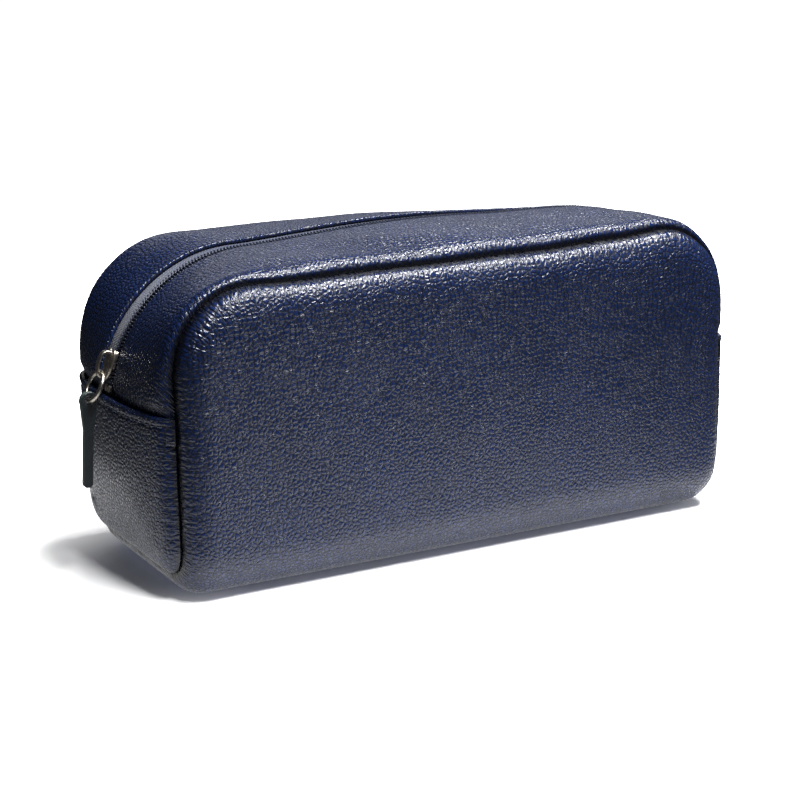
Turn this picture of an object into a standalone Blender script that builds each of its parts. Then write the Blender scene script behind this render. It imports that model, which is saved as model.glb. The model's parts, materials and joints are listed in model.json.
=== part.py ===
"""Shaving kit bag: a zipped leather wash bag with a padded wrap, end panels, a lining and a ring pull.

Metres, +Z up. X runs along the bag, the front faces -Y and the origin is the centre of the
footprint. The leather is two sets of panels that share one seam line: the wrap (front, base and
back) stands out from it in Y and Z, and the bands and end panels stand out from it in X and Z.
"""
from math import asin, cos, pi, radians, sin, sqrt

import bmesh
import bpy
from mathutils import Matrix, Vector

# Driving dimensions
SEAM_X = 0.122            # seam line, half the distance between the two ends
SEAM_Y = 0.046            # seam line, half the distance between front and back
SEAM_TOP = 0.119
SEAM_LOW = 0.009
CORNER_R = 0.034          # upper corners of the front and back panels
FOOT_R = 0.013            # lower corners of the end panels
WRAP_ROLL = 0.008         # the wrap rolls this far out of the seam
WRAP_ROLL_WIDTH = 0.012   # over this distance from it
BAND_ROLL = 0.0045        # and so do the bands and end panels
BAND_ROLL_WIDTH = 0.0065
END_BULGE = 0.011         # roll and crown together
TOP_BULGE = 0.0070
TOP_ARCH = 0.0035         # extra rise along the middle of the zip
ARCH_POWER = 1.3
ZIP_CORNER_R = 0.060      # the zip's corner, wider than the seam's
CROWN_POWER = 2.4
POCKET_TOP = 0.073        # upper edge of the end panels
HEM_STEP = 0.0012         # the end panels stand this far proud of the bands
HINGE_Z = 0.075           # the mouth opens about this height
LEATHER = 0.0018
LINING = 0.0008
GAP = 0.0003

# Zip: widths are measured from the middle line, depths from the leather's outer face
TAPE_INNER = 0.0010
TAPE_OUTER = 0.0150
TAPE_DEPTH = LEATHER + GAP
TAPE = 0.0006
TEETH_INNER = 0.0007
TEETH_OUTER = 0.0029
TEETH_DEPTH = 0.0005
TEETH = 0.0013
FRONT_BAND_EDGE = 0.0046
REAR_BAND_EDGE = 0.0104
CHAIN_LOW = 0.0932        # the moving halves of the zip start above the parked slider
TAIL_LOW = 0.064
TAIL_OUTER = 0.0055
SLOT_LOW = 0.0769         # the tails join below this height
STOP = Vector((0.0013, 0.0019, 0.0026))

# Slider, in a frame whose origin is on the teeth: U towards the nose, V along Y, W outward
SLIDER_ANGLE = radians(18.5)
SLIDER_RADIUS = ZIP_CORNER_R - 0.0013
PLATE_LENGTH = 0.0125
PLATE_WIDTH = 0.0086
PLATE = 0.0011
TOP_PLATE_W = 0.0012
BOTTOM_PLATE_W = -0.0033
FLANGE = 0.0009
FLANGE_WIDTH = 0.0005
NOSE_SHARE = 0.8
TAIL_SHARE = 0.86         # the plates' width at the tail, as a share of the full width
POST_U = 0.0022
POST_LENGTH = 0.0032
POST_WIDTH = 0.0008
BRIDGE_WIDTH = 0.0026
BRIDGE_RISE = 0.0034
BRIDGE = 0.0011
BRIDGE_START = -0.0052
BRIDGE_END = 0.0060

# Pull
RING_U = 0.0036
RING_W = 0.0041
RING_R = 0.0060
RING_WIRE = 0.0009
RING_TILT = radians(28)
TAB_HEAD_R = 0.0036
TAB_HALF_WIDTH = 0.0019
TAB_LENGTH = 0.0345       # from the hole to the cut end
TAB_NECK = 0.0120
TAB = 0.0026
TAB_LEAN = radians(4)      # its foot stands this much further out than its head
TAB_HOLE_R = 0.0016

# Inside
TUB_HALF_LENGTH = 0.1175
TUB_HALF_WIDTH = 0.0495
TUB_CORNER_R = 0.016
TUB_LEVELS = ((0.0056, 0.010), (0.0086, 0.004), (0.0145, 0.0), (HINGE_Z - 0.001, 0.0))
LINING_DEPTH = 0.0045
LINING_EDGE = 0.0064      # the upper lining stops this far from the zip's middle line
BOARD = Vector((0.214, 0.070, 0.0025))
BOARD_Z = 0.0024

CORNER_STEPS = 9
TOP_STEPS = 10
FOOT_STEPS = 5
CENTRE = Vector((0, 0, 0.06))
FRONT, REAR = -1, 1
LEFT, RIGHT = -1, 1


def clear_scene():
    for item in list(bpy.data.objects):
        bpy.data.objects.remove(item, do_unlink=True)


def material(name, colour, roughness, metallic=0.0):
    """A Principled material; colour is linear RGB."""
    made = bpy.data.materials.new(name)
    made.use_nodes = True
    shader = made.node_tree.nodes["Principled BSDF"]
    shader.inputs["Base Color"].default_value = (*colour, 1.0)
    shader.inputs["Roughness"].default_value = roughness
    shader.inputs["Metallic"].default_value = metallic
    made.diffuse_color = (*colour, 1.0)
    return made


def empty(name, location):
    made = bpy.data.objects.new(name, None)
    made.location = location
    bpy.context.collection.objects.link(made)
    return made


def attach(item, parent):
    """Hang a piece on an empty that marks its joint, leaving the piece where it is."""
    item.parent = parent
    item.matrix_parent_inverse = Matrix.Translation(-parent.location)


def add_object(name, bm, paint):
    mesh = bpy.data.meshes.new(name)
    bm.to_mesh(mesh)
    bm.free()
    mesh.materials.append(paint)
    made = bpy.data.objects.new(name, mesh)
    bpy.context.collection.objects.link(made)
    return made


def smooth(item, angle=35):
    item.data.shade_smooth()
    item.data.set_sharp_from_angle(angle=radians(angle))


def roll(distance, width):
    """How far a panel has rolled out of the seam, 0 to 1, at a distance from it."""
    rest = 1 - min(distance / width, 1)
    return sqrt(1 - rest * rest)


def crown(distance):
    """How far the bands and end panels have crowned, 0 at the seam to 1 in the middle."""
    return 1 - (1 - min(distance / SEAM_Y, 1)) ** CROWN_POWER


def arch_points(half_length, top, radius, low, rise=0.0):
    """An upside-down U in X and Z, from its left foot over the top to its right foot."""
    centre_x = half_length - radius
    centre_z = top - radius
    straight = max(centre_z - low, 0)
    start = asin(min(max((low - centre_z) / radius, 0), 1))
    length = straight + radius * (pi / 2 - start)
    left = []
    for step in range(CORNER_STEPS + 1):
        run = length * step / CORNER_STEPS
        if run < straight:
            left.append((-half_length, low + run))
        else:
            angle = start + (run - straight) / radius
            left.append((-centre_x - radius * cos(angle), centre_z + radius * sin(angle)))
    middle = []
    for step in range(1, TOP_STEPS):
        along = step / TOP_STEPS
        middle.append((centre_x * (2 * along - 1), top + rise * sin(pi * along) ** ARCH_POWER))
    right = [(-x, z) for x, z in reversed(left)]
    return left + middle + right


def cup_points(half_width, low, radius, high):
    """A U in Y and Z, open at the top."""
    left = [(-half_width, high), (-half_width, (high + low + radius) / 2)]
    for step in range(FOOT_STEPS + 1):
        angle = pi / 2 * step / FOOT_STEPS
        left.append((-half_width + radius * (1 - cos(angle)), low + radius * (1 - sin(angle))))
    return left + [(-y, z) for y, z in reversed(left)]


def ring_points(half_length, half_width, radius, steps=5):
    """A closed rounded rectangle in X and Y."""
    points = []
    for corner in range(4):
        side_x = (1, -1, -1, 1)[corner]
        side_y = (1, 1, -1, -1)[corner]
        for step in range(steps + 1):
            angle = pi / 2 * (corner + step / steps)
            x = side_x * (half_length - radius) + radius * cos(angle)
            y = side_y * (half_width - radius) + radius * sin(angle)
            points.append((x, y))
    return points


def arch_size(y):
    """Half length, top and corner radius of the bag's outline at one place across it."""
    rolled = BAND_ROLL * roll(SEAM_Y - abs(y), BAND_ROLL_WIDTH)
    bulge = crown(SEAM_Y - abs(y))
    return (SEAM_X + rolled + (END_BULGE - BAND_ROLL) * bulge,
            SEAM_TOP + rolled + (TOP_BULGE - BAND_ROLL) * bulge,
            CORNER_R + rolled + (ZIP_CORNER_R - CORNER_R - BAND_ROLL) * bulge)


def bag_arch(y, depth, low):
    """The bag's outline at one place across it, sunk below the leather by depth."""
    half_length, top, radius = arch_size(y)
    rise = TOP_ARCH * crown(SEAM_Y - abs(y))
    outline = arch_points(half_length - depth, top - depth, radius - depth, low, rise)
    return [Vector((x, y, z)) for x, z in outline]


def corner_point(end, y, z, depth):
    """A point on the round upper corner of one end, sunk by depth, and its angle."""
    half_length, top, radius = arch_size(y)
    angle = asin(max((z - top + radius) / (radius - depth), 0))
    return Vector((end * (half_length - radius + (radius - depth) * cos(angle)), y, z)), angle


def shell_object(name, bm, thickness, paint):
    """Turn an open surface to look away from the bag's middle and thicken it inward."""
    bmesh.ops.recalc_face_normals(bm, faces=bm.faces)
    bm.normal_update()
    outward = sum(face.calc_area() * face.normal.dot(face.calc_center_median() - CENTRE) for face in bm.faces)
    if outward < 0:
        bmesh.ops.reverse_faces(bm, faces=bm.faces)
    made = add_object(name, bm, paint)
    shell = made.modifiers.new("thickness", "SOLIDIFY")
    shell.thickness = thickness
    shell.offset = -1
    shell.use_even_offset = True
    smooth(made)
    return made


def sheet(name, curves, thickness, paint, closed=False, filled=False):
    """Skin a row of curves that have the same number of points, and thicken it inward."""
    bm = bmesh.new()
    rows = [[bm.verts.new(point) for point in curve] for curve in curves]
    for near, far in zip(rows, rows[1:]):
        count = len(near)
        for index in range(count if closed else count - 1):
            after = (index + 1) % count
            bm.faces.new((near[index], near[after], far[after], far[index]))
    if filled:
        bm.faces.new(rows[-1])
    return shell_object(name, bm, thickness, paint)


def box_mesh(size, centre):
    bm = bmesh.new()
    bmesh.ops.create_cube(bm, size=1)
    bmesh.ops.scale(bm, vec=size, verts=bm.verts)
    bmesh.ops.translate(bm, vec=centre, verts=bm.verts)
    return bm


def prism_mesh(outline, low, high, place):
    """Extrude a closed outline of (u, w) points from v = low to v = high, through place(u, v, w)."""
    bm = bmesh.new()
    near = [bm.verts.new(place(u, low, w)) for u, w in outline]
    far = [bm.verts.new(place(u, high, w)) for u, w in outline]
    bm.faces.new(near)
    bm.faces.new(list(reversed(far)))
    for index in range(len(outline)):
        after = (index + 1) % len(outline)
        bm.faces.new((near[after], near[index], far[index], far[after]))
    bmesh.ops.recalc_face_normals(bm, faces=bm.faces)
    return bm


def cut_or_join(item, other, operation):
    """Apply a Boolean with another object and remove that object."""
    change = item.modifiers.new(operation.lower(), "BOOLEAN")
    change.operation = operation
    change.solver = "EXACT"
    change.object = other
    graph = bpy.context.evaluated_depsgraph_get()
    mesh = bpy.data.meshes.new_from_object(item.evaluated_get(graph))
    item.modifiers.remove(change)
    item.data = mesh
    bpy.data.objects.remove(other, do_unlink=True)


def body_wrap(paint):
    """The lower front, the base and the lower back in one piece of leather."""
    insets = (0, 0.0005, 0.002, 0.0045, 0.008, WRAP_ROLL_WIDTH, 0.045)
    places = [(-SEAM_X + inset, inset) for inset in insets]
    places += [(-x, inset) for x, inset in reversed(places)]
    curves = []
    for x, inset in places:
        out = roll(inset, WRAP_ROLL_WIDTH)
        section = cup_points(SEAM_Y + WRAP_ROLL * out, SEAM_LOW * (1 - out), FOOT_R + WRAP_ROLL * out,
                             HINGE_Z - GAP)
        curves.append([Vector((x, y, z)) for y, z in section])
    return sheet("body_wrap", curves, LEATHER, paint)


def upper_panel(name, side, paint):
    """The front or back panel above the hinge line, rolled into the seam along its arch."""
    curves = []
    for inset in (0, 0.0005, 0.002, 0.0045, 0.008, WRAP_ROLL_WIDTH, 0.022):
        outline = arch_points(SEAM_X - inset, SEAM_TOP - inset, max(CORNER_R - inset, 0.006), HINGE_Z + GAP)
        y = side * (SEAM_Y + WRAP_ROLL * roll(inset, WRAP_ROLL_WIDTH))
        curves.append([Vector((x, y, z)) for x, z in outline])
    return sheet(name, curves, LEATHER, paint, filled=True)


def band(name, side, edge, paint):
    """One leather band beside the zip, running over the top and down to both end panels."""
    start = SEAM_Y - GAP
    steps = 9
    curves = []
    for step in range(steps + 1):
        across = start - (start - edge) * (step / steps) ** 1.8
        curves.append(bag_arch(side * across, 0, HINGE_Z + GAP))
    return sheet(name, curves, LEATHER, paint)


def zip_half(name, side, inner, outer, depth, thickness, paint):
    curves = [bag_arch(side * across, depth, CHAIN_LOW) for across in (outer, (inner + outer) / 2, inner)]
    return sheet(name, curves, thickness, paint)


def upper_lining(name, side, paint):
    """The lining of one half of the mouth, from the zip round to the panel."""
    low = HINGE_Z + GAP
    curves = [bag_arch(side * across, LINING_DEPTH, low) for across in (LINING_EDGE, 0.018, 0.030, 0.041)]
    for across, inset in ((0.0465, 0.0060), (0.0495, 0.0100), (0.0495, 0.0240)):
        outline = arch_points(SEAM_X - inset, SEAM_TOP - inset, CORNER_R - inset, low)
        curves.append([Vector((x, side * across, z)) for x, z in outline])
    return sheet(name, curves, LINING, paint, filled=True)


def end_panel(name, end, paint):
    """A lower end panel, bulged, with its upper edge standing proud over the zip's end."""
    curves = []
    for inset in (GAP, 0.001, 0.0025, 0.0045, 0.0065, 0.011, 0.017, 0.024, 0.032, 0.043):
        section = cup_points(SEAM_Y - inset, SEAM_LOW + inset, max(FOOT_R - inset, 0.001), POCKET_TOP)
        rolled = BAND_ROLL * roll(inset, BAND_ROLL_WIDTH)
        x = end * (SEAM_X + rolled + (END_BULGE - BAND_ROLL + HEM_STEP) * crown(inset))
        curves.append([Vector((x, y, z)) for y, z in section])
    return sheet(name, curves, LEATHER, paint, filled=True)


def lining_tub(paint):
    curves = []
    for z, inset in reversed(TUB_LEVELS):
        outline = ring_points(TUB_HALF_LENGTH - inset, TUB_HALF_WIDTH - inset, TUB_CORNER_R - inset)
        curves.append([Vector((x, y, z)) for x, y in outline])
    return sheet("lining_tub", curves, LINING, paint, closed=True, filled=True)


def base_board(paint):
    centre = Vector((0, 0, BOARD_Z + BOARD.z / 2))
    return add_object("base_board", box_mesh(BOARD, centre), paint)


def zip_tail(name, end, paint):
    """The fixed foot of the zip: both tapes, parted by a slot and joined under the end panel."""
    columns = (-TAIL_OUTER, -TAPE_INNER, TAPE_INNER, TAIL_OUTER)
    tip = CHAIN_LOW - 2 * GAP
    heights = [TAIL_LOW, (TAIL_LOW + SLOT_LOW) / 2]
    heights += [SLOT_LOW + (tip - SLOT_LOW) * step / 4 for step in range(5)]
    bm = bmesh.new()
    rows = [[bm.verts.new(corner_point(end, y, z, TAPE_DEPTH)[0]) for y in columns] for z in heights]
    for lower, upper, z in zip(rows, rows[1:], heights):
        for index in range(3):
            if index != 1 or z < SLOT_LOW:
                bm.faces.new((lower[index], lower[index + 1], upper[index + 1], upper[index]))
    return shell_object(name, bm, TAPE, paint)


def stop_block(name, end, y, z, depth, width, paint):
    """A metal stop crimped on the tape."""
    place, angle = corner_point(end, 0, z, depth)
    bm = box_mesh(Vector((STOP.x, width, STOP.z)), Vector((0, 0, 0)))
    made = add_object(name, bm, paint)
    made.location = place + Vector((0, y, 0))
    made.rotation_euler = (0, -end * angle, 0)
    rounded = made.modifiers.new("rounded", "BEVEL")
    rounded.width = 0.0003
    rounded.segments = 2
    smooth(made)
    return made


def slider_place(u, v, w):
    """A point of the parked slider's frame in the bag's frame."""
    nose = Vector((-sin(SLIDER_ANGLE), 0, -cos(SLIDER_ANGLE)))
    outward = Vector((-cos(SLIDER_ANGLE), 0, sin(SLIDER_ANGLE)))
    centre = Vector((-(SEAM_X + END_BULGE - ZIP_CORNER_R), 0, SEAM_TOP + TOP_BULGE - ZIP_CORNER_R))
    return centre + outward * (SLIDER_RADIUS + w) + nose * u + Vector((0, v, 0))


def plate_mesh(low, thickness):
    """A slider plate, narrowing to a round nose."""
    half = PLATE_WIDTH / 2
    outline = [(-PLATE_LENGTH / 2, -half * TAIL_SHARE), (-PLATE_LENGTH / 2, half * TAIL_SHARE)]
    steps = 8
    nose_start = PLATE_LENGTH / 2 - half * NOSE_SHARE
    for step in range(steps + 1):
        angle = pi / 2 - pi * step / steps
        outline.append((nose_start + half * NOSE_SHARE * cos(angle), half * sin(angle)))

    def place(u, w, v):
        return slider_place(u, v, w)
    return prism_mesh(outline, low, low + thickness, place)


def slider_body(paint):
    """Two plates, a post between them at the nose, side flanges and the bridge, cast in one."""
    made = add_object("slider_body", plate_mesh(TOP_PLATE_W, PLATE), paint)
    bottom = add_object("bottom_plate", plate_mesh(BOTTOM_PLATE_W, PLATE), paint)
    half_post = POST_WIDTH / 2
    post_low = BOTTOM_PLATE_W + PLATE / 2
    post_high = TOP_PLATE_W + PLATE / 2
    post_outline = [(POST_U, post_low), (POST_U + POST_LENGTH, post_low),
                    (POST_U + POST_LENGTH, post_high), (POST_U, post_high)]
    post = add_object("post", prism_mesh(post_outline, -half_post, half_post, slider_place), paint)
    cut_or_join(made, post, "UNION")
    cut_or_join(made, bottom, "UNION")
    flange_outline = [(-PLATE_LENGTH / 2 + 0.0005, TOP_PLATE_W - FLANGE), (0.0010, TOP_PLATE_W - FLANGE),
                      (0.0010, TOP_PLATE_W + PLATE / 2), (-PLATE_LENGTH / 2 + 0.0005, TOP_PLATE_W + PLATE / 2)]
    for side in (FRONT, REAR):
        outer = PLATE_WIDTH / 2 * TAIL_SHARE
        edges = sorted((side * outer, side * (outer - FLANGE_WIDTH)))
        flange = add_object("flange", prism_mesh(flange_outline, *edges, slider_place), paint)
        cut_or_join(made, flange, "UNION")
    cut_or_join(made, add_object("bridge", bridge_mesh(), paint), "UNION")
    smooth(made, 40)
    return made


def bridge_mesh():
    """A tall arch along the slider that the ring hangs in."""
    base = TOP_PLATE_W + PLATE / 2
    foot = TOP_PLATE_W + PLATE
    steps = 4

    def arch(inset, base_w):
        radius = BRIDGE_RISE * 0.6 - inset / 2
        top = foot + BRIDGE_RISE + BRIDGE - inset
        start = BRIDGE_START + inset
        end = BRIDGE_END - inset
        points = [(start, base_w)]
        for step in range(steps + 1):
            angle = pi / 2 * step / steps
            points.append((start + radius * (1 - cos(angle)), top - radius * (1 - sin(angle))))
        for step in range(steps + 1):
            angle = pi / 2 * step / steps
            points.append((end - radius * (1 - sin(angle)), top - radius * (1 - cos(angle))))
        return points + [(end, base_w)]
    outline = arch(0, base) + list(reversed(arch(BRIDGE, base)))
    return prism_mesh(outline, -BRIDGE_WIDTH / 2, BRIDGE_WIDTH / 2, slider_place)


def pull_ring(pivot, paint):
    """A round wire ring hanging from the bridge, tipped outward by the tab."""
    hang = Vector((-sin(RING_TILT), 0, -cos(RING_TILT)))
    bpy.ops.mesh.primitive_torus_add(major_segments=32, minor_segments=10, major_radius=RING_R,
                                     minor_radius=RING_WIRE, location=pivot + hang * RING_R,
                                     rotation=(0, pi / 2 + RING_TILT, 0))
    made = bpy.context.object
    made.name = "pull_ring"
    made.data.materials.append(paint)
    made.data.shade_smooth()
    return made


def pull_tab(hole, paint):
    """A flat leather tab with a round head, standing edge-on to the bag's end."""
    neck_angle = radians(20)
    steps = 14
    outline = []
    for step in range(steps + 1):
        angle = -neck_angle + (pi + 2 * neck_angle) * step / steps
        outline.append((TAB_HEAD_R * cos(angle), TAB_HEAD_R * sin(angle)))
    corner = 0.0010
    outline += [(-TAB_HALF_WIDTH, -TAB_NECK), (-TAB_HALF_WIDTH, -TAB_LENGTH + corner),
                (-TAB_HALF_WIDTH + corner, -TAB_LENGTH), (TAB_HALF_WIDTH - corner, -TAB_LENGTH),
                (TAB_HALF_WIDTH, -TAB_LENGTH + corner), (TAB_HALF_WIDTH, -TAB_NECK)]

    def place(x, y, z):
        return hole + Vector((x * cos(TAB_LEAN) + z * sin(TAB_LEAN), y, z * cos(TAB_LEAN) - x * sin(TAB_LEAN)))
    made = add_object("pull_tab", prism_mesh(outline, -TAB / 2, TAB / 2, place), paint)
    bpy.ops.mesh.primitive_cylinder_add(vertices=20, radius=TAB_HOLE_R, depth=4 * TAB, location=hole,
                                        rotation=(pi / 2, 0, 0))
    cut_or_join(made, bpy.context.object, "DIFFERENCE")
    rounded = made.modifiers.new("rounded", "BEVEL")
    rounded.width = 0.0003
    rounded.segments = 1
    rounded.limit_method = "ANGLE"
    smooth(made)
    return made


def build():
    clear_scene()
    leather = material("navy_leather", (0.020, 0.028, 0.065), 0.45)
    fabric = material("lining_fabric", (0.035, 0.035, 0.040), 0.85)
    board = material("base_board_card", (0.12, 0.09, 0.06), 0.9)
    tape = material("zip_tape", (0.018, 0.024, 0.050), 0.8)
    teeth = material("zip_teeth", (0.006, 0.008, 0.016), 0.35)
    nickel = material("nickel", (0.62, 0.58, 0.52), 0.22, 1.0)
    green = material("tab_leather", (0.010, 0.016, 0.015), 0.5)

    body_wrap(leather)
    base_board(board)
    lining_tub(fabric)
    for end, word in ((LEFT, "left"), (RIGHT, "right")):
        end_panel("end_panel_" + word, end, leather)
        zip_tail("zip_tail_" + word, end, tape)
    stop_depth = TAPE_DEPTH - GAP - STOP.x / 2
    stop_y = TEETH_INNER + STOP.y / 2
    stop_block("top_stop_front", LEFT, -stop_y, SLOT_LOW - 0.0012, stop_depth, STOP.y, nickel)
    stop_block("top_stop_rear", LEFT, stop_y, SLOT_LOW - 0.0012, stop_depth, STOP.y, nickel)
    stop_block("bottom_stop", RIGHT, 0, SLOT_LOW - 0.0012, stop_depth, 2 * TEETH_OUTER, nickel)

    mouth_y = SEAM_Y + WRAP_ROLL
    for side, word, edge in ((FRONT, "front", FRONT_BAND_EDGE), (REAR, "rear", REAR_BAND_EDGE)):
        axis = empty("mouth_" + word + "_axis", Vector((0, side * mouth_y, HINGE_Z)))
        attach(upper_panel(word + "_panel_upper", side, leather), axis)
        attach(band(word + "_band", side, edge, leather), axis)
        attach(zip_half(word + "_tape", side, TAPE_INNER, TAPE_OUTER, TAPE_DEPTH, TAPE, tape), axis)
        attach(zip_half(word + "_teeth", side, TEETH_INNER, TEETH_OUTER, TEETH_DEPTH, TEETH, teeth), axis)
        attach(upper_lining(word + "_lining", side, fabric), axis)

    centre = Vector((-(SEAM_X + END_BULGE - ZIP_CORNER_R), 0, SEAM_TOP + TOP_BULGE - ZIP_CORNER_R))
    attach(slider_body(nickel), empty("zip_travel_axis", centre))
    pivot = slider_place(RING_U, 0, RING_W)
    attach(pull_ring(pivot, nickel), empty("ring_axis", pivot))
    hole = pivot + 2 * RING_R * Vector((-sin(RING_TILT), 0, -cos(RING_TILT)))
    attach(pull_tab(hole, green), empty("tab_axis", hole))


build()
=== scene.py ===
"""Looks for the shaving kit bag: pebbled navy leather panels, woven zip with a coil, nickel and lining.

Metres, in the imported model's frame. Panels are grids over their flat cutting patterns, bent to the
bag's shape, so the grain, the seam puckers and the weave follow each panel's own pattern.
"""
import json
from math import cos, pi, radians, sin

import bmesh
import bpy
import numpy as np
from mathutils import Matrix, Vector


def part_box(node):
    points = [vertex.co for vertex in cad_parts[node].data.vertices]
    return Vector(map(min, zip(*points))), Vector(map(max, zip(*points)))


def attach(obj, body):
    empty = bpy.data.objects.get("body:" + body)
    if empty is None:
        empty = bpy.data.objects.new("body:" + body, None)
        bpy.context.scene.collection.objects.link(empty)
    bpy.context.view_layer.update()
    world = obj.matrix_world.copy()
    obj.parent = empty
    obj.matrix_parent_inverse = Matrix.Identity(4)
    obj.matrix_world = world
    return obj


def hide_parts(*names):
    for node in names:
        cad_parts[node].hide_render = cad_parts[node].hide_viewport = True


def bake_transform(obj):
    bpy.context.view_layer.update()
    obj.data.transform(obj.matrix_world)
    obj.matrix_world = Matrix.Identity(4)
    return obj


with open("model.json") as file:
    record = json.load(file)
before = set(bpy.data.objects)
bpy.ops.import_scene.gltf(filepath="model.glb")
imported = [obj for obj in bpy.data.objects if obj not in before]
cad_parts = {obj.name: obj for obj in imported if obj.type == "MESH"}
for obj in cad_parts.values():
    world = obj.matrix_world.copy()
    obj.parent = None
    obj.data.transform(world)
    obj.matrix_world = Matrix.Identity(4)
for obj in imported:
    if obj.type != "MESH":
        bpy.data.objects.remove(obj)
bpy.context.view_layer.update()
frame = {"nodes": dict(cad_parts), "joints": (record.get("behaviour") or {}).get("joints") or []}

MM = 0.001
FRONT, REAR = -1, 1
LEFT, RIGHT = -1, 1

# The bag's shape: overall sizes come from the frame, the rest repeats the CAD's seam profile
WRAP_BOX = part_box("body_wrap")
SEAM_X = WRAP_BOX[1].x
WRAP_ROLL = 0.008
WRAP_ROLL_WIDTH = 0.012
SEAM_Y = WRAP_BOX[1].y - WRAP_ROLL
SEAM_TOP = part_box("front_panel_upper")[1].z
SEAM_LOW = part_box("end_panel_left")[0].z
CORNER_R = 0.034
FOOT_R = 0.013
BAND_ROLL = 0.0045
BAND_ROLL_WIDTH = 0.0065
END_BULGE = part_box("front_band")[1].x - SEAM_X
TOP_ARCH = 0.0035
TOP_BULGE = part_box("front_band")[1].z - SEAM_TOP - TOP_ARCH
ARCH_POWER = 1.3
ZIP_CORNER_R = 0.060
CROWN_POWER = 2.4
HEM_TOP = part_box("end_panel_left")[1].z
HEM_STEP = 0.0012
HEM_STITCH = HEM_TOP - 0.0036
LEATHER = 0.0018
BAND_EDGES = {FRONT: -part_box("front_band")[1].y, REAR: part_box("rear_band")[0].y}
BAND_LOW = HEM_TOP - 0.009    # the bands run on down behind the end panels' hems
TUCK = 0.0018                 # and step this far inward there
TAPE_DEPTH = 0.0021
TAPE = 0.0006
TAPE_INNER, TAPE_OUTER = 0.0010, 0.0150
COIL_TOP, COIL_LOW = 0.0004, 0.0019
COIL_INNER, COIL_OUTER = -0.0003, 0.0029
COIL_PITCH = 0.0014
COIL_WIRE = 0.00029
STOP_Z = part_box("bottom_stop")[1].z
END_LEATHER = 0.0011
LINING = 0.0007
LINING_DEPTH = 0.0045         # how far the upper lining hangs inside the bands
LINING_INSET = 0.0050         # how far the lining stops short of the wrap's seam
SEAM_GAP = 0.0002             # bands and end panels start this far from the seam line
PINCH = 0.0011
PUCKER = 0.00009

# How far the sewn bag gives way from its drawn shape
FOOT_SLACK = 0.0030
HOLLOW, FACE_SINK = 0.0011, 0.0004
TOP_RIPPLE = 0.0006
SHOULDER_FULL, SHOULDER_EXTRA = 0.0010, 0.0018
FRONT_RIDGE = 0.0016
REAR_RISE, REAR_SLACK = 0.0022, 0.0042

# The wrap's flat pattern: x along the bag, t from the middle of the base up the front
BASE_FLAT = SEAM_Y - FOOT_R
BEND_R = FOOT_R + WRAP_ROLL
BEND = BEND_R * pi / 2
UPRIGHT = SEAM_TOP - BEND_R
PATTERN_TOP = BASE_FLAT + BEND + UPRIGHT
HALF_SEAM = PATTERN_TOP - CORNER_R + CORNER_R * pi / 2 + SEAM_X - CORNER_R

# Words for the two sides and the two ends, used in the pieces' names
SIDE_WORDS = {FRONT: "front", REAR: "rear"}
END_WORDS = {LEFT: "left", RIGHT: "right"}


# ---------------------------------------------------------------- shape

def roll(distance, width):
    """How far a panel has rolled out of the seam, 0 to 1, at a distance from it."""
    rest = 1 - np.clip(distance / width, 0, 1)
    return np.sqrt(1 - rest * rest)


def crown(distance):
    """How far the bands and end panels have crowned, 0 at the seam to 1 in the middle."""
    return 1 - (1 - np.clip(distance / SEAM_Y, 0, 1)) ** CROWN_POWER


def smoothstep(value, low, high):
    share = np.clip((value - low) / (high - low), 0, 1)
    return share * share * (3 - 2 * share)


def ripple(along, wavelengths, seed):
    """A seeded sum of sines with these wavelengths, about -1 to 1."""
    phases = np.random.default_rng(seed).uniform(0, 2 * pi, len(wavelengths))
    waves = [np.sin(2 * pi * along / length + phase) for length, phase in zip(wavelengths, phases)]
    return sum(waves) / len(wavelengths) ** 0.5 / 1.6


def soften(points):
    """Ease the whole bag out of its drawn shape, as padded leather gives way.

    The lower ends are slack and the big panels have gentle hollows. The top ripples, its corners are
    full, and the rear of the top rises toward the left, sinks toward the right and leaves a ridge in front.
    """
    x, y, z = points[..., 0], points[..., 1], points[..., 2]
    foot = (1 - smoothstep(z, 0.0, 0.050)) * smoothstep(np.abs(x), SEAM_X, SEAM_X + END_BULGE)
    dx = -np.sign(x) * FOOT_SLACK * foot
    face = smoothstep(np.abs(y), 0.044, 0.054) * smoothstep(0.122 - np.abs(x), 0.0, 0.035)
    hollow = ripple(x + 0.35 * z, (0.21, 0.12, 0.083), 3) * ripple(z - 0.2 * x, (0.14, 0.09), 4)
    dy = np.sign(y) * face * (HOLLOW * hollow - FACE_SINK)
    top = smoothstep(z, 0.112, 0.126) * smoothstep(np.abs(y), 0.010, 0.030)
    dz = TOP_RIPPLE * top * ripple(x + 2.0 * y, (0.15, 0.09, 0.06), 5)
    full = 1 - smoothstep(np.hypot(np.abs(x) - 0.105, z - 0.108), 0.006, 0.036)
    right = SHOULDER_FULL + SHOULDER_EXTRA * smoothstep(-y, -0.010, 0.030)
    full = full * np.where(x > 0, right, SHOULDER_FULL * smoothstep(np.abs(y), 0.010, 0.030))
    upper, behind = smoothstep(z, 0.110, 0.124), smoothstep(y, 0.006, 0.035)
    slack = smoothstep(x, -0.015, 0.048)
    ridge = FRONT_RIDGE * smoothstep(x, 0.030, 0.070) * upper * (1 - smoothstep(y, -0.002, 0.014))
    raised = 1 - smoothstep(np.abs(x + 0.075), 0.0, 0.060)
    dx = dx + np.sign(x) * full
    dz = dz + full + ridge + (REAR_RISE * raised - REAR_SLACK * slack) * upper * behind
    return points + np.stack([dx, dy, dz], axis=-1)


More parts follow.
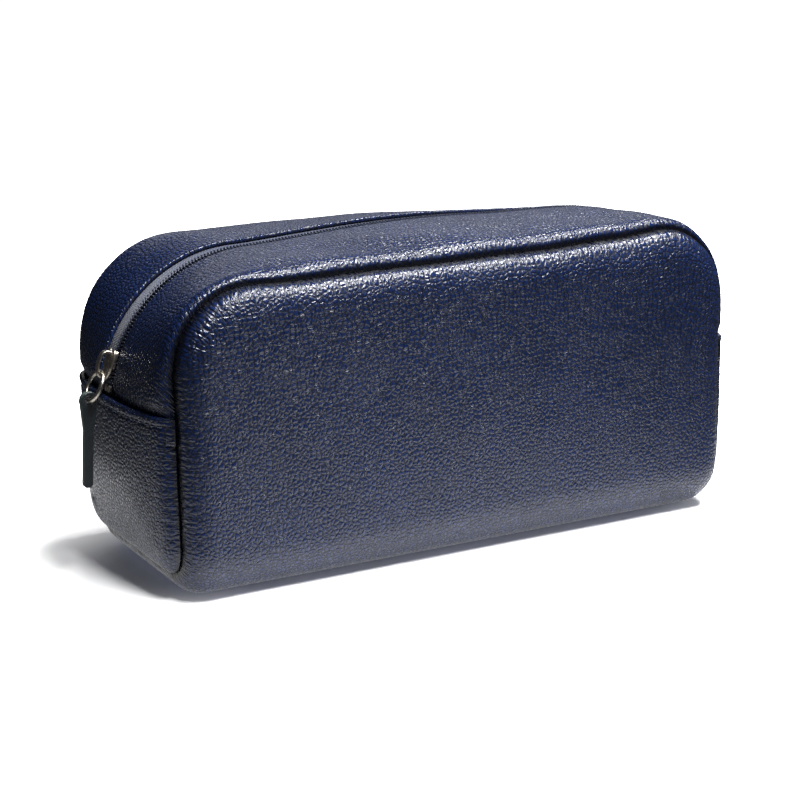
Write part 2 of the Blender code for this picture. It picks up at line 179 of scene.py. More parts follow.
def wrap_inset(x, t):
    """Distance in from the wrap's seam, and a coordinate along that seam."""
    centre_x, centre_t = SEAM_X - CORNER_R, PATTERN_TOP - CORNER_R
    over_x, over_t = np.abs(x) - centre_x, t - centre_t
    corner = (over_x > 0) & (over_t > 0)
    flat = np.minimum(SEAM_X - np.abs(x), PATTERN_TOP - t)
    inset = np.where(corner, CORNER_R - np.hypot(over_x, over_t), flat)
    angle = np.arctan2(np.maximum(over_t, 0), np.maximum(over_x, 1e-9))
    beside = np.where(SEAM_X - np.abs(x) < PATTERN_TOP - t, t, centre_t + CORNER_R * pi / 2 - over_x)
    along = np.where(corner, centre_t + CORNER_R * angle, beside)
    return np.maximum(inset, 0), np.where(x < 0, along, 2 * HALF_SEAM - along)


def wrap_place(side, x, t):
    """The wrap's place in space for a point of its flat pattern, and its place beside the seam."""
    inset, along = wrap_inset(x, t)
    out = roll(inset, WRAP_ROLL_WIDTH)
    radius = FOOT_R + WRAP_ROLL * out
    low = SEAM_LOW * (1 - out)
    angle = np.clip((t - BASE_FLAT) / BEND_R, 0, pi / 2)
    rise = np.maximum(t - BASE_FLAT - BEND, 0)
    y = np.minimum(t, BASE_FLAT) + radius * np.sin(angle)
    z = low + radius - radius * np.cos(angle) + rise * (1 - (low + radius - BEND_R) / UPRIGHT)
    return np.stack([x, side * y, z], axis=-1), inset, along


def round_corner(a, b, centre_a, centre_b, radius):
    """Pull a grid's square corner onto a quarter circle; a and b run outward from the centre."""
    p = np.clip((a - centre_a) / radius, 0, 1)
    q = np.clip((b - centre_b) / radius, 0, 1)
    inside = (p > 0) & (q > 0)
    return (np.where(inside, centre_a + radius * p * np.sqrt(1 - q * q / 2), a),
            np.where(inside, centre_b + radius * q * np.sqrt(1 - p * p / 2), b))


def spaced(low, high, step, dense_low=True, dense_high=True):
    """Places from low to high about step apart, closer together beside a seam."""
    dense = np.array([0, 0.2, 0.5, 0.9, 1.4, 2.1, 2.9, 3.8, 4.8]) * MM
    start = low + (dense if dense_low else dense[:1])
    end = high - (dense if dense_high else dense[:1])
    count = max(int(round((end[-1] - start[-1]) / step)), 2)
    middle = np.linspace(start[-1], end[-1], count + 1)[1:-1]
    return np.concatenate([start, middle, end[::-1]])


def arch_size(y):
    """Half length, top and corner radius of the bag's outline at one place across it."""
    rolled = BAND_ROLL * roll(SEAM_Y - abs(y), BAND_ROLL_WIDTH)
    bulge = crown(SEAM_Y - abs(y))
    return (SEAM_X + rolled + (END_BULGE - BAND_ROLL) * bulge,
            SEAM_TOP + rolled + (TOP_BULGE - BAND_ROLL) * bulge,
            CORNER_R + rolled + (ZIP_CORNER_R - CORNER_R - BAND_ROLL) * bulge)


def arch_curve(y, depth, low, step):
    """The bag's outline at one place across it, sunk by depth: points in rows of a fixed count."""
    half_length, top, radius = arch_size(y)
    rise = TOP_ARCH * crown(SEAM_Y - abs(y))
    centre_x, centre_z = half_length - radius, top - radius
    sunk = radius - depth
    straight = max(centre_z - low, 0)
    start = np.arcsin(np.clip((low - centre_z) / sunk, 0, 1))
    leg_steps = int(round((0.090 + 0.080 - low) / step))
    run = np.linspace(0, straight + sunk * (pi / 2 - start), leg_steps + 1)
    angle = start + np.maximum(run - straight, 0) / sunk
    bent = run > straight
    leg_x = -np.where(bent, centre_x + sunk * np.cos(angle), half_length - depth)
    leg_z = np.where(bent, centre_z + sunk * np.sin(angle), low + run)
    share = np.linspace(0, 1, int(round(0.164 / step)) + 1)[1:-1]
    top_x = centre_x * (2 * share - 1)
    top_z = top - depth + rise * np.sin(pi * share) ** ARCH_POWER
    x = np.concatenate([leg_x, top_x, -leg_x[::-1]])
    z = np.concatenate([leg_z, top_z, leg_z[::-1]])
    return np.stack([x, np.full_like(x, y), z], axis=-1)


def end_place(end, y, z, proud):
    """The end panel's place for a point of its own outline, with its distance in from the seam."""
    centre_y, centre_z = SEAM_Y - FOOT_R, SEAM_LOW + FOOT_R
    over_y, under_z = np.abs(y) - centre_y, centre_z - z
    corner = (over_y > 0) & (under_z > 0)
    side, bottom = SEAM_Y - np.abs(y), z - SEAM_LOW
    inset = np.maximum(np.where(corner, FOOT_R - np.hypot(over_y, under_z), np.minimum(side, bottom)), 0)
    soft = 1 / (1 / np.maximum(side, 1e-6) ** 3 + 1 / np.maximum(bottom, 1e-6) ** 3) ** (1 / 3)
    depth = np.where(corner, inset, np.minimum(soft, inset))
    x = SEAM_X + BAND_ROLL * roll(inset, BAND_ROLL_WIDTH) + (END_BULGE - BAND_ROLL + HEM_STEP) * crown(depth)
    angle = np.arctan2(np.maximum(under_z, 0), np.maximum(over_y, 1e-9))
    beside = np.where(side < bottom, -z, -centre_z + FOOT_R * pi / 2 - over_y)
    along = np.where(corner, -centre_z + FOOT_R * angle, beside)
    half_seam = -centre_z + FOOT_R * pi / 2 + centre_y
    along = np.where(y < 0, along, 2 * half_seam - along) + 2.0 * end
    return np.stack([end * (x + proud), y, z], axis=-1), inset, along


# ---------------------------------------------------------------- meshes

def grid_normals(points):
    """Unit normals of a grid of points, from its own differences."""
    normal = np.cross(np.gradient(points, axis=0), np.gradient(points, axis=1))
    return normal / np.maximum(np.linalg.norm(normal, axis=-1, keepdims=True), 1e-12)


def grid_object(name, points, paint, flat, inset=None, along=None, closed=False, capped=False):
    """A mesh from a grid of points, with its pattern place and seam distance kept as attributes."""
    rows, columns = points.shape[:2]
    index = np.arange(rows * columns).reshape(rows, columns)
    near, far = (index, np.roll(index, -1, axis=0)) if closed else (index[:-1], index[1:])
    quads = np.stack([near[:, :-1], near[:, 1:], far[:, 1:], far[:, :-1]], axis=-1).reshape(-1, 4)
    faces = quads.tolist()
    if capped:
        faces += [index[:, 0].tolist(), index[::-1, -1].tolist()]
    mesh = bpy.data.meshes.new(name)
    mesh.from_pydata(points.reshape(-1, 3).tolist(), [], faces)
    write = mesh.attributes.new("flat", "FLOAT_VECTOR", "POINT")
    write.data.foreach_set("vector", flat.astype(np.float32).reshape(-1, 3).ravel())
    for word, values in (("seam", inset), ("along", along)):
        values = np.ones(points.shape[:2]) if values is None else values
        mesh.attributes.new(word, "FLOAT", "POINT").data.foreach_set(
            "value", values.astype(np.float32).ravel())
    mesh.materials.append(paint)
    mesh.shade_smooth()
    made = bpy.data.objects.new(name, mesh)
    bpy.context.scene.collection.objects.link(made)
    return made


def plain_object(name, verts, faces, paint):
    """A smooth mesh whose closed shells all look outward."""
    mesh = bpy.data.meshes.new(name)
    mesh.from_pydata([tuple(v) for v in verts], [], faces)
    shells = bmesh.new()
    shells.from_mesh(mesh)
    bmesh.ops.recalc_face_normals(shells, faces=shells.faces)
    shells.to_mesh(mesh)
    shells.free()
    mesh.materials.append(paint)
    mesh.shade_smooth()
    made = bpy.data.objects.new(name, mesh)
    bpy.context.scene.collection.objects.link(made)
    return made


def face_outward(made, inside):
    """Flip the mesh if most of it looks toward this place inside it."""
    mesh = made.data
    normals = np.zeros(len(mesh.polygons) * 3, np.float32)
    centres = np.zeros(len(mesh.polygons) * 3, np.float32)
    mesh.polygons.foreach_get("normal", normals)
    mesh.polygons.foreach_get("center", centres)
    outward = centres.reshape(-1, 3) - np.array(inside)
    if (normals.reshape(-1, 3) * outward).sum() < 0:
        mesh.flip_normals()


def bake(made, *modifiers):
    """Apply modifiers given as (type, settings) and keep the result as the mesh."""
    for kind, settings in modifiers:
        change = made.modifiers.new(kind.lower(), kind)
        for word, value in settings.items():
            setattr(change, word, value)
    graph = bpy.context.evaluated_depsgraph_get()
    mesh = bpy.data.meshes.new_from_object(made.evaluated_get(graph))
    made.modifiers.clear()
    made.data = mesh


def thicken(made, thickness):
    """Give a sheet its thickness, inward from its outer face."""
    face_outward(made, (0, 0, 0.06))
    bake(made, ("SOLIDIFY", {"thickness": thickness, "offset": -1}))


def mouth_piece(made, side, slot, *nodes):
    """Fix a piece's transform into its mesh and hide the CAD nodes it stands in for."""
    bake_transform(made)
    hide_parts(*nodes)


def puckers(inset, along, seed, depth, reach):
    """Gathers that run out of a seam: how far the leather is pushed out, at a distance from it."""
    near = np.clip(inset / reach, 0, 8)
    swell = near * np.exp(1 - near)
    size = 0.6 + 0.4 * ripple(along, (0.043, 0.071), seed + 1)
    return depth * swell * size * ripple(along, (0.0031, 0.0043, 0.0057, 0.0091), seed)


def pinch(inset):
    """How far the leather is drawn into the bag right at a seam."""
    return PINCH * np.exp(-inset / (0.9 * MM))


def wrap_half(side, paint):
    """The front or back panel with its half of the base, in one piece of leather."""
    name = SIDE_WORDS[side] + "_wrap"
    x_places = spaced(-SEAM_X, SEAM_X, 1.15 * MM)
    t_places = spaced(0, PATTERN_TOP, 1.15 * MM, dense_low=False)
    t, x = np.meshgrid(t_places, x_places, indexing="ij")
    far_x, t = round_corner(np.abs(x), t, SEAM_X - CORNER_R, PATTERN_TOP - CORNER_R, CORNER_R)
    x = np.sign(x) * far_x
    points, inset, along = wrap_place(side, x, t)
    normal = grid_normals(points) * side
    push = puckers(inset, along, 10 + side, PUCKER, 0.0018)
    points = points + normal * push[..., None]
    points[..., 1] -= side * pinch(inset)
    points = soften(points)
    flat = np.stack([x, t, np.zeros_like(x)], axis=-1)
    made = grid_object(name, points, paint, flat, inset, along)
    thicken(made, LEATHER)
    mouth_piece(made, side, "leather", SIDE_WORDS[side] + "_panel_upper", "body_wrap")


def measured(points):
    """Signed length along each column of a grid, from the column's middle point."""
    steps = np.linalg.norm(np.diff(points, axis=1), axis=-1)
    run = np.concatenate([np.zeros((len(points), 1)), np.cumsum(steps, axis=1)], axis=1)
    return run - run[:, run.shape[1] // 2][:, None]


def tucked(points, low_z, high_z, depth):
    """Step a strip inward, towards the bag, below the hem."""
    moved = points.copy()
    inward = depth * (1 - smoothstep(points[..., 2], low_z, high_z))
    moved[..., 0] -= np.sign(points[..., 0]) * inward
    return moved


def strip(sections, low, step):
    """Curves along the bag for each (y, depth) of a cross-section."""
    return np.stack([arch_curve(y, depth, low, step) for y, depth in sections])


def band(side, paint):
    """The leather band beside the zip: seam to folded edge outside, and back again inside."""
    edge = BAND_EDGES[side]
    fold = 0.0009
    outside = spaced(edge + fold, SEAM_Y - SEAM_GAP, 1.1 * MM, dense_low=False)[::-1]
    angles = np.linspace(pi / 2, -pi / 2, 7)[1:-1]
    inside = np.linspace(edge + fold, SEAM_Y - SEAM_GAP, 12)
    sections = [(y, 0.0) for y in outside]
    sections += [(edge + fold - fold * cos(a), fold - fold * sin(a)) for a in angles]
    sections += [(y, 2 * fold) for y in inside]
    points = strip([(side * y, depth) for y, depth in sections], BAND_LOW, 1.1 * MM)
    across = np.array([SEAM_Y - y for y, depth in sections])[:, None] * np.ones(points.shape[1])
    along = measured(points)
    normal = grid_normals(points)
    normal *= np.sign((normal * (points - np.array([0, 0, 0.06]))).sum(-1, keepdims=True))
    outer = np.arange(len(sections)) < len(outside)
    push = puckers(across, along, 20 + side, PUCKER, 0.0016) * outer[:, None]
    push = push * smoothstep(across, 0, 0.0004)
    points = points + normal * (push - pinch(across))[..., None]
    points = soften(tucked(points, HEM_TOP - 0.001, HEM_TOP + 0.006, TUCK))
    flat = np.stack([along, across, np.full_like(along, 0.5 + side)], axis=-1)
    made = grid_object(SIDE_WORDS[side] + "_band_leather", points, paint, flat, across, along,
                       closed=True, capped=True)
    face_outward(made, (0, side * 0.03, 0.06))
    mouth_piece(made, side, "leather", SIDE_WORDS[side] + "_band")


def end_panel(end, paint):
    """A lower end panel with its top edge folded to the inside."""
    fold = 0.0012
    allowance = 0.009
    y_places = spaced(-SEAM_Y + SEAM_GAP, SEAM_Y - SEAM_GAP, 1.1 * MM)
    z_places = spaced(SEAM_LOW + SEAM_GAP, HEM_TOP - fold, 1.1 * MM)
    turn = np.linspace(0, pi, 8)[1:]
    back = np.linspace(0, allowance, 6)[1:]
    rows_z = np.concatenate([z_places, HEM_TOP - fold + fold * np.sin(turn), HEM_TOP - fold - back])
    rows_in = np.concatenate([np.zeros_like(z_places), fold - fold * np.cos(turn),
                              np.full_like(back, 2 * fold)])
    z, y = np.meshgrid(rows_z, y_places, indexing="ij")
    far_y, low_z = round_corner(np.abs(y), -z, SEAM_Y - FOOT_R, -SEAM_LOW - FOOT_R, FOOT_R - SEAM_GAP)
    y, z = np.sign(y) * far_y, -low_z
    points, inset, along = end_place(end, y, z, 0)
    points[..., 0] -= end * rows_in[:, None] * smoothstep(inset, 0, 0.004)
    normal = np.array([end, 0, 0])
    gather = puckers(inset, along, 30 + end, PUCKER, 0.0018) * (rows_in[:, None] == 0)
    gather = gather * smoothstep(HEM_TOP - z, 0.004, 0.010)
    outer = 1 - smoothstep(rows_in, 0, 2 * fold)[:, None]
    swell = 0.00045 * smoothstep(z, HEM_STITCH + 0.0003, HEM_STITCH + 0.0014)
    gather = gather + outer * (swell - 0.00040 * np.exp(-((z - HEM_STITCH) / 0.0007) ** 2))
    points = soften(points + normal * (gather - pinch(inset))[..., None])
    flat = np.stack([y, z, np.full_like(y, 2.0 + end)], axis=-1)
    made = grid_object("end_leather_" + END_WORDS[end], points, paint, flat, inset, along)
    thicken(made, END_LEATHER)
    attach(made, "bag")
    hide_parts("end_panel_" + END_WORDS[end])


def thread(name, centres, tangents, normals, length, radius, paint):
    """A row of sewn stitches: short threads that dive into the leather at both ends."""
    rings, sides = 9, 8
    share = np.linspace(-1, 1, rings)
    angle = np.linspace(0, 2 * pi, sides, endpoint=False)
    lift = (1 - share ** 4) * 1.5 - 1.0
    width = 1 - 0.45 * share ** 6
    across = np.cross(normals, tangents)
    verts, faces = [], []
    for centre, tangent, normal, side in zip(centres, tangents, normals, across):
        base = len(verts)
        for place, up, wide in zip(share, lift, width):
            middle = centre + tangent * place * length / 2 + normal * up * radius
            for a in angle:
                verts.append(middle + (side * cos(a) + normal * sin(a) * 0.8) * radius * wide)
        for row in range(rings - 1):
            for s in range(sides):
                a, b = base + row * sides + s, base + row * sides + (s + 1) % sides
                faces.append((a, b, b + sides, a + sides))
        faces.append([base + s for s in reversed(range(sides))])
        faces.append([base + (rings - 1) * sides + s for s in range(sides)])
    return plain_object(name, verts, faces, paint)


def hem_stitches(end, paint):
    """Topstitching along the hem of an end panel."""
    pitch = 0.0034
    y = np.arange(-SEAM_Y + 0.004, SEAM_Y - 0.004, pitch)
    level = np.full_like(y, HEM_STITCH)
    place = soften(end_place(end, y, level, -0.0003)[0])
    ahead = soften(end_place(end, y + 0.001, level, -0.0003)[0])
    under = soften(end_place(end, y, level - 0.001, -0.0003)[0])
    tangent = ahead - place
    tangent /= np.linalg.norm(tangent, axis=1, keepdims=True)
    normal = np.cross(tangent, under - place)
    normal /= np.linalg.norm(normal, axis=1, keepdims=True)
    normal *= np.sign(normal[:, :1]) * end
    made = thread("hem_stitches_" + END_WORDS[end], place, tangent, normal, 0.0027, 0.00026, paint)
    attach(made, "bag")


def tape(side, paint):
    """One woven tape of the zip, from its foot at one end to its foot at the other."""
    places = np.linspace(TAPE_INNER, TAPE_OUTER, 12)
    points = strip([(side * y, TAPE_DEPTH) for y in places], BAND_LOW + MM, 1.5 * MM)
    points = soften(tucked(points, HEM_TOP - 0.001, HEM_TOP + 0.006, TUCK * 0.6))
    along = measured(points)
    across = places[:, None] * np.ones_like(along)
    flat = np.stack([along, across, np.full_like(along, side)], axis=-1)
    made = grid_object(SIDE_WORDS[side] + "_tape_woven", points, paint, flat)
    thicken(made, TAPE)
    mouth_piece(made, side, "tape", SIDE_WORDS[side] + "_tape", "zip_tail_left", "zip_tail_right")


def coil(side, paint):
    """One side's nylon coil, wound flat round its own line beside the middle of the zip."""
    spine = soften(arch_curve(0.0, (COIL_TOP + COIL_LOW) / 2, STOP_Z + 0.0006, 0.5 * MM))
    run = measured(spine[None])[0]
    run -= run[0]
    turns = int(run[-1] / COIL_PITCH)
    steps = 12
    count = turns * steps
    turn = np.arange(count + 1) / steps
    place = turn * COIL_PITCH + (0.5 * COIL_PITCH if side == REAR else 0)
    place = np.clip(place, 0, run[-1])
    centre = np.stack([np.interp(place, run, spine[:, axis]) for axis in range(3)], axis=1)
    ahead = np.stack([np.interp(place + 0.0008, run, spine[:, axis]) for axis in range(3)], axis=1)
    behind = np.stack([np.interp(place - 0.0008, run, spine[:, axis]) for axis in range(3)], axis=1)
    tangent = ahead - behind
    tangent /= np.linalg.norm(tangent, axis=1, keepdims=True)
    across = np.array([0, side, 0.0])
    outward = np.cross(tangent, across) * -side
    outward *= np.sign((outward * (centre - np.array([0, 0, 0.06]))).sum(1, keepdims=True))
    middle, reach = (COIL_INNER + COIL_OUTER) / 2, (COIL_OUTER - COIL_INNER) / 2 - COIL_WIRE
    height = (COIL_LOW - COIL_TOP) / 2 - COIL_WIRE
    angle = 2 * pi * turn
    wide = np.sign(np.cos(angle)) * np.abs(np.cos(angle)) ** 0.6
    high = np.sign(np.sin(angle)) * np.abs(np.sin(angle)) ** 0.8
    lean = 0.22 * COIL_PITCH * np.sin(angle)
    path = centre + across * (middle - wide * reach)[:, None] + outward * (high * height)[:, None]
    path += tangent * lean[:, None]
    made = tube(SIDE_WORDS[side] + "_coil", path, COIL_WIRE, 6, outward, paint)
    mouth_piece(made, side, "teeth", SIDE_WORDS[side] + "_teeth")


def tube(name, path, radius, sides, up, paint):
    """A round wire along a path, with flat ends."""
    tangent = np.gradient(path, axis=0)
    tangent /= np.linalg.norm(tangent, axis=1, keepdims=True)
    across = np.cross(tangent, up + 0.35 * np.array([0, 1, 0]))
    across /= np.linalg.norm(across, axis=1, keepdims=True)
    over = np.cross(across, tangent)
    angle = np.linspace(0, 2 * pi, sides, endpoint=False)
    rings = [path + radius * (across * cos(a) + over * sin(a)) for a in angle]
    points = np.stack(rings)
    return grid_object(name, points, paint, points, closed=True, capped=True)


def lining(side, paint):
    """The lining of one half: down from the zip inside the band, and down the inside of the wrap."""
    places = np.linspace(0.0064, SEAM_Y - LINING_DEPTH, 10)
    upper = soften(strip([(side * y, LINING_DEPTH) for y in places], BAND_LOW, 3 * MM))
    along = measured(upper)
    flat = np.stack([along, places[:, None] * np.ones_like(along), np.zeros_like(along)], axis=-1)
    made = grid_object(SIDE_WORDS[side] + "_lining_band", upper, paint, flat)
    thicken(made, LINING)
    mouth_piece(made, side, "lining", SIDE_WORDS[side] + "_lining")
    x_places = np.linspace(-SEAM_X + LINING_INSET, SEAM_X - LINING_INSET, 80)
    t_places = np.linspace(0, PATTERN_TOP - LINING_INSET, 60)
    t, x = np.meshgrid(t_places, x_places, indexing="ij")
    far_x, t = round_corner(np.abs(x), t, SEAM_X - CORNER_R, PATTERN_TOP - CORNER_R,
                            CORNER_R - LINING_INSET)
    x = np.sign(x) * far_x
    points = wrap_place(side, x, t)[0]
    points[..., 1] -= side * 0.0040 * smoothstep(t, BASE_FLAT, BASE_FLAT + BEND)
    points[..., 2] += 0.0058 * (1 - smoothstep(t, BASE_FLAT, BASE_FLAT + BEND))
    made = grid_object(SIDE_WORDS[side] + "_lining_panel", soften(points), paint,
                       np.stack([x, t, np.zeros_like(x)], axis=-1))
    thicken(made, LINING)
    mouth_piece(made, side, "lining", SIDE_WORDS[side] + "_lining", "lining_tub")


def end_lining(end, paint):
    """The lining behind an end panel."""
    y_places = np.linspace(-SEAM_Y + 0.005, SEAM_Y - 0.005, 40)
    z_places = np.linspace(SEAM_LOW + 0.002, HEM_TOP + 0.010, 36)
    z, y = np.meshgrid(z_places, y_places, indexing="ij")
    points = end_place(end, y, z, -0.0056)[0]
    made = grid_object("end_lining_" + END_WORDS[end], soften(points), paint,
                       np.stack([y, z, 0 * y], axis=-1))
    thicken(made, LINING)
    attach(made, "bag")
    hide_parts("lining_tub")


# ---------------------------------------------------------------- slider

PARKED = radians(18.5)
SLIDER_LENGTH, SLIDER_WIDTH, PLATE = 0.0125, 0.0086, 0.0011
PLATES_W = (-0.0033, 0.0012)
BRIDGE_ENDS, BRIDGE_TOP = (-0.0052, 0.0060), 0.0057
SLIDER_SINK = 0.0013          # how far the slider's middle lies inside the zip's outer line
RING_WIRE = 0.0009


def slider_place(points):
    """From the slider's own frame (u to the nose, v along Y, w outward) to the parked slider's place."""
    nose = np.array([-sin(PARKED), 0, -cos(PARKED)])
    outward = np.array([-cos(PARKED), 0, sin(PARKED)])
    pivot = next(joint for joint in frame["joints"] if joint["name"] == "zip_travel")["pos_m"]
    centre = np.array(pivot) + outward * (ZIP_CORNER_R - SLIDER_SINK)
    u, v, w = points[..., 0:1], points[..., 1:2], points[..., 2:3]
    return centre + u * nose + v * np.array([0, 1, 0]) + w * outward


def plate_outline(shrink):
    """The slider plate seen from outside: two shoulders at the tail, a round nose."""
    angle = np.linspace(0, 2 * pi, 64, endpoint=False)
    u, v = np.cos(angle), np.sin(angle)
    squared = 1 / (np.abs(u) ** 4 + np.abs(v) ** 4) ** 0.25
    square = np.where(u < 0, squared, 1.0)
    half = SLIDER_WIDTH / 2 - shrink
    taper = 1 - 0.20 * smoothstep(u * square, -0.2, 1.0)
    notch = 0.0012 * np.exp(-(v / 0.30) ** 2) * (u < 0)
    return np.stack([u * square * (SLIDER_LENGTH / 2 - shrink) + notch, v * square * half * taper], axis=-1)


def rounded_slab(low, high, edge, dome=0.0):
    """Loops of a plate from its lower face round its soft edge to its upper face."""
    turns = np.linspace(0, pi / 2, 4)
    levels = [(0.0028, low), (edge, low)]
    levels += [(edge * (1 - sin(a)), low + edge * (1 - cos(a))) for a in turns[1:]]
    levels += [(edge * (1 - cos(a)), high - edge * (1 - sin(a))) for a in turns]
    levels += [(0.0014, high + dome * 0.6), (0.0028, high + dome)]
    loops = [np.concatenate([plate_outline(inset), np.full((64, 1), w)], axis=1) for inset, w in levels]
    return np.stack(loops)


def bar_loops(path, half_v, half_w, v_shift=0.0):
    """Loops of a soft-edged bar that follows a path of (u, w) points."""
    path = np.array(path)
    ahead = np.gradient(path, axis=0)
    ahead /= np.linalg.norm(ahead, axis=1, keepdims=True)
    angle = np.linspace(0, 2 * pi, 20, endpoint=False)
    bulk = 1 / (np.abs(np.cos(angle)) ** 4 + np.abs(np.sin(angle)) ** 4) ** 0.25
    across, over = np.cos(angle) * bulk * half_v, np.sin(angle) * bulk * half_w
    loops = []
    for (u, w), (du, dw) in zip(path, ahead):
        loops.append(np.stack([u - dw * over, across + v_shift, w + du * over], axis=-1))
    return np.stack(loops)


def bridge_path():
    """Up from the tail, along the top and down at the nose, with round corners."""
    start, end = BRIDGE_ENDS[0] + 0.0006, BRIDGE_ENDS[1] - 0.0006
    foot, top, bend = PLATES_W[1] + 0.0006, BRIDGE_TOP, 0.0022
    turns = np.linspace(0, pi / 2, 8)
    rise = [(start, w) for w in np.linspace(foot, top - bend, 4)[:-1]]
    first = [(start + bend * (1 - cos(a)), top - bend * (1 - sin(a))) for a in turns]
    level = [(u, top + 0.0003 * sin(pi * k)) for k, u in
             ((k, start + bend + (end - start - 2 * bend) * k) for k in (0.2, 0.4, 0.6, 0.8))]
    last = [(end - bend * (1 - sin(a)), top - bend * (1 - cos(a))) for a in turns]
    fall = [(end, w) for w in np.linspace(top - bend, foot, 4)[1:]]
    return rise + first + level + last + fall


def slider(paint):
    """The cast slider: two plates, their side lips, the post between them and the bridge."""
    lip_w = PLATES_W[1] - 0.0004
    lip = [(u, lip_w) for u in np.linspace(-SLIDER_LENGTH / 2 + 0.0007, 0.0010, 6)]
    side = SLIDER_WIDTH / 2 * 0.86 - 0.00025
    post = [(u, (PLATES_W[0] + PLATES_W[1] + PLATE) / 2) for u in np.linspace(0.0022, 0.0054, 4)]
    shells = [rounded_slab(PLATES_W[1], PLATES_W[1] + PLATE, 0.00042, 0.00025),
              rounded_slab(PLATES_W[0], PLATES_W[0] + PLATE, 0.00036),
              bar_loops(bridge_path(), 0.0013, 0.00052),
              bar_loops(lip, 0.00025, 0.00048, side), bar_loops(lip, 0.00025, 0.00048, -side),
              bar_loops(post, 0.0004, 0.0019)]
    verts, faces = [], []
    for loops in shells:
        rows, count = loops.shape[:2]
        base = len(verts)
        verts += slider_place(loops).reshape(-1, 3).tolist()
        for row in range(rows - 1):
            for k in range(count):
                a, b = base + row * count + k, base + row * count + (k + 1) % count
                faces.append((a, b, b + count, a + count))
        faces.append([base + k for k in reversed(range(count))])
        faces.append([base + (rows - 1) * count + k for k in range(count)])
    made = plain_object("slider_cast", verts, faces, paint)
    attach(made, "slider")
    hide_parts("slider_body")


def ring(paint):
    """The round wire ring, in the plane of the CAD's own ring."""
    low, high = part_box("pull_ring")
    centre = (np.array(low) + np.array(high)) / 2
    radius = (high.y - low.y) / 2 - RING_WIRE
    down = np.array([low.x - high.x, 0, low.z - high.z]) + 2 * RING_WIRE * np.array([1.0, 0, 1.0])
    down /= np.linalg.norm(down)
    angle = np.linspace(0, 2 * pi, 73)[:-1]
    around = np.stack([np.cos(angle), np.sin(angle)], axis=1)
    spokes = around[:, :1] * down + around[:, 1:] * np.array([0, 1.0, 0])
    normal = np.cross(down, [0, 1.0, 0])
    turns = np.linspace(0, 2 * pi, 17)[:-1]
    points = np.stack([centre + spokes * (radius + RING_WIRE * cos(a)) + normal * RING_WIRE * sin(a)
                       for a in turns])
    verts = points.reshape(-1, 3)
    rows, count = points.shape[:2]
    faces = []
    for row in range(rows):
        for k in range(count):
            a, b = row * count + k, row * count + (k + 1) % count
            c, d = (row + 1) % rows * count + (k + 1) % count, (row + 1) % rows * count + k
            faces.append((a, b, c, d))
    made = plain_object("ring_wire", verts, faces, paint)
    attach(made, "ring")
    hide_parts("pull_ring")


# ---------------------------------------------------------------- materials

class Paint:
    """A Principled material and short ways to add nodes to it."""

    def __init__(self, name, **sockets):
        self.material = bpy.data.materials.new(name)
        self.material.use_nodes = True
        self.tree = self.material.node_tree
        self.shader = self.tree.nodes["Principled BSDF"]
        for socket, value in sockets.items():
            self.shader.inputs[socket.replace("_", " ")].default_value = value

    def node(self, kind, inputs=(), output=0, **settings):
        made = self.tree.nodes.new("ShaderNode" + kind)
        for word, value in settings.items():
            setattr(made, word, value)
        pairs = inputs.items() if isinstance(inputs, dict) else enumerate(inputs)
        for key, value in pairs:
            self.plug(made.inputs[key], value)
        return made.outputs[output]

    def plug(self, socket, value):
        if isinstance(value, bpy.types.NodeSocket):
            self.tree.links.new(value, socket)
        else:
            socket.default_value = value

    def math(self, operation, *values):
        return self.node("Math", values, operation=operation)

    def vector(self, operation, *values):
        output = 1 if operation == "LENGTH" else 0
        return self.node("VectorMath", values, output, operation=operation)

    def attribute(self, name, output="Fac"):
        return self.node("Attribute", output=output, attribute_name=name)

    def ramp(self, value, low, high, to_low=0.0, to_high=1.0, smooth=True):
        style = "SMOOTHSTEP" if smooth else "LINEAR"
        return self.node("MapRange", (value, low, high, to_low, to_high), interpolation_type=style)

    def noise(self, place, scale, detail=2.0, dimensions="3D", output="Fac"):
        inputs = {"Vector": place, "Scale": scale, "Detail": detail}
        return self.node("TexNoise", inputs, output=output, noise_dimensions=dimensions)

    def voronoi(self, inputs, feature, output="Distance"):
        return self.node("TexVoronoi", inputs, output, feature=feature, voronoi_dimensions="2D")

    def blend(self, share, low, high):
        made = self.tree.nodes.new("ShaderNodeMix")
        made.data_type = "RGBA"
        for key, value in ((0, share), (6, low), (7, high)):
            self.plug(made.inputs[key], value)
        return made.outputs[2]

    def millimetres(self, place=None):
        """A place in millimetres: the flat pattern's, unless another is given."""
        made = self.tree.nodes.new("ShaderNodeVectorMath")
        made.operation = "SCALE"
        self.plug(made.inputs[0], self.attribute("flat", "Vector") if place is None else place)
        made.inputs["Scale"].default_value = 1 / MM
        return made.outputs[0]

    def object_millimetres(self):
        return self.millimetres(self.node("TexCoord", output="Object"))

    def axes(self, place):
        parts = self.tree.nodes.new("ShaderNodeSeparateXYZ")
        self.plug(parts.inputs[0], place)
        return parts.outputs

    def bump(self, height, distance, strength=1.0, normal=None):
        inputs = {"Strength": strength, "Distance": distance, "Height": height}
        if normal:
            inputs["Normal"] = normal
        return self.node("Bump", inputs)

    def finish(self, **sockets):
        for socket, value in sockets.items():
            self.plug(self.shader.inputs[socket.replace("_", " ")], value)
        return self.material


